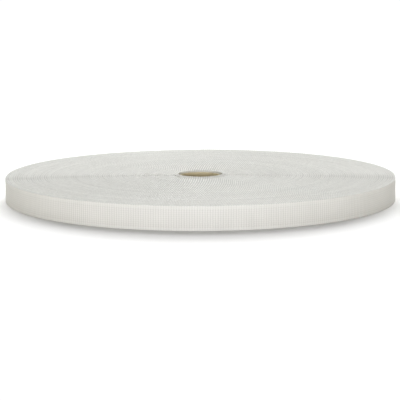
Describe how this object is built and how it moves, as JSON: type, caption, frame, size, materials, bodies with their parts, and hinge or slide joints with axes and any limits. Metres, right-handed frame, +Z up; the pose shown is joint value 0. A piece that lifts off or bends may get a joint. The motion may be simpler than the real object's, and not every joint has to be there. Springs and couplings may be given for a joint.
{
  "type": "roll of polypropylene webbing",
  "caption": "Flat roll of white ribbed polypropylene webbing, wound in a tight spiral on a small open paper core and lying on its side.",
  "frame": {"origin": "on the floor under the middle of the roll, on the axis of its core", "axes": "+Z up along the axis of the roll; the strap's cut outer end lies at +Y, at the back, and the strap runs clockwise inwards from it seen from above"},
  "size_m": [0.325, 0.3259, 0.0196],
  "materials": {
    "webbing": "white woven polypropylene, ribbed across, with a soft sheen",
    "core": "plain kraft paper tube, wound in a spiral, matt"
  },
  "bodies": {
    "root": {"wound_webbing": "webbing", "core": "core"}
  },
  "joints": []
}
